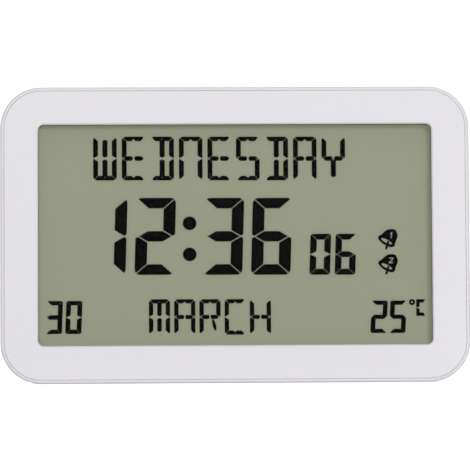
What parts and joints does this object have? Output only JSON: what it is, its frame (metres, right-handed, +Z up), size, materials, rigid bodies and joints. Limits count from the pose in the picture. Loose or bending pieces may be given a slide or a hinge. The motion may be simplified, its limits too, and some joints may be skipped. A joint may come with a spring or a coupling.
{
  "type": "day clock",
  "caption": "Wide desk and wall clock with a large liquid-crystal panel for weekday, time, date and temperature, rounded white case, setting keys, battery door and folding stand.",
  "frame": {"origin": "middle of the case's underside, on the surface it stands on", "axes": "+X to the right seen from the front, +Y from the display to the back, +Z up"},
  "size_m": [0.19, 0.025, 0.12],
  "materials": {
    "case_plastic": "fine satin",
    "key_plastic": "fine satin",
    "lens": "clear, polished",
    "tape": "dull",
    "polariser": "clear, faintly grey-green",
    "display_glass": "clear",
    "reflector": "fine grained grey-green",
    "holder_plastic": "dull",
    "contact_rubber": "dull",
    "board": "lacquered",
    "black_plastic": "dull",
    "can_steel": "nickel plated",
    "screw_steel": "zinc plated",
    "capacitor_sleeve": "sleeved",
    "thermistor_bead": "dipped",
    "buzzer_brass": "plain",
    "buzzer_ceramic": "silvered ceramic",
    "plunger_plastic": "dull",
    "cell_jacket": "printed film without words"
  },
  "bodies": {
    "case": {"front_frame": "case_plastic", "rear_cover": "case_plastic", "display_lens": "lens", "lens_tape": "tape", "front_polariser": "polariser", "front_glass": "display_glass", "rear_glass": "display_glass", "reflector": "reflector", "lcd_holder": "holder_plastic", "contact_strip": "contact_rubber", "main_board": "board", "driver_chip": "black_plastic", "quartz_crystal": "can_steel", "reservoir_capacitor": "capacitor_sleeve", "thermistor": "thermistor_bead", "buzzer_disc": "buzzer_brass", "buzzer_ceramic": "buzzer_ceramic", "key_board": "board", "switch_1": "black_plastic", "switch_2": "black_plastic", "switch_3": "black_plastic", "switch_4": "black_plastic", "switch_5": "black_plastic", "switch_6": "black_plastic", "battery_1": "cell_jacket", "battery_2": "cell_jacket", "spring_1": "can_steel", "spring_2": "can_steel", "contact_bridge": "can_steel", "contact_plus": "can_steel", "contact_minus": "can_steel", "case_screw_1": "screw_steel", "case_screw_2": "screw_steel", "case_screw_3": "screw_steel", "case_screw_4": "screw_steel", "case_screw_5": "screw_steel", "case_screw_6": "screw_steel", "board_screw_1": "screw_steel", "board_screw_2": "screw_steel", "board_screw_3": "screw_steel", "holder_screw_1": "screw_steel", "holder_screw_2": "screw_steel", "holder_screw_3": "screw_steel", "key_board_screw_1": "screw_steel", "key_board_screw_2": "screw_steel"},
    "battery_door": {"battery_door": "case_plastic"},
    "kickstand": {"kickstand": "case_plastic"},
    "key_1": {"key_1": "key_plastic", "plunger_1": "plunger_plastic"},
    "key_2": {"key_2": "key_plastic", "plunger_2": "plunger_plastic"},
    "key_3": {"key_3": "key_plastic", "plunger_3": "plunger_plastic"},
    "key_4": {"key_4": "key_plastic", "plunger_4": "plunger_plastic"},
    "key_5": {"key_5": "key_plastic", "plunger_5": "plunger_plastic"},
    "key_6": {"key_6": "key_plastic", "plunger_6": "plunger_plastic"}
  },
  "joints": [
    {"name": "battery_door_hinge", "type": "hinge", "parent": "case", "child": "battery_door", "pos_m": [0.0583, 0.0125, 0.02295], "axis": [-1, 0, 0], "range_deg": [0, 75]},
    {"name": "kickstand_hinge", "type": "hinge", "parent": "case", "child": "kickstand", "pos_m": [0, 0.0109, 0.076], "axis": [1, 0, 0], "range_deg": [0, 50]},
    {"name": "key_1_press", "type": "slide", "parent": "case", "child": "key_1", "axis": [0, -1, 0], "range_m": [0, 0.0006], "stiffness_N_per_m": 2000},
    {"name": "key_2_press", "type": "slide", "parent": "case", "child": "key_2", "axis": [0, -1, 0], "range_m": [0, 0.0006], "stiffness_N_per_m": 2000},
    {"name": "key_3_press", "type": "slide", "parent": "case", "child": "key_3", "axis": [0, -1, 0], "range_m": [0, 0.0006], "stiffness_N_per_m": 2000},
    {"name": "key_4_press", "type": "slide", "parent": "case", "child": "key_4", "axis": [0, -1, 0], "range_m": [0, 0.0006], "stiffness_N_per_m": 2000},
    {"name": "key_5_press", "type": "slide", "parent": "case", "child": "key_5", "axis": [0, -1, 0], "range_m": [0, 0.0006], "stiffness_N_per_m": 2000},
    {"name": "key_6_press", "type": "slide", "parent": "case", "child": "key_6", "axis": [0, -1, 0], "range_m": [0, 0.0006], "stiffness_N_per_m": 2000}
  ]
}
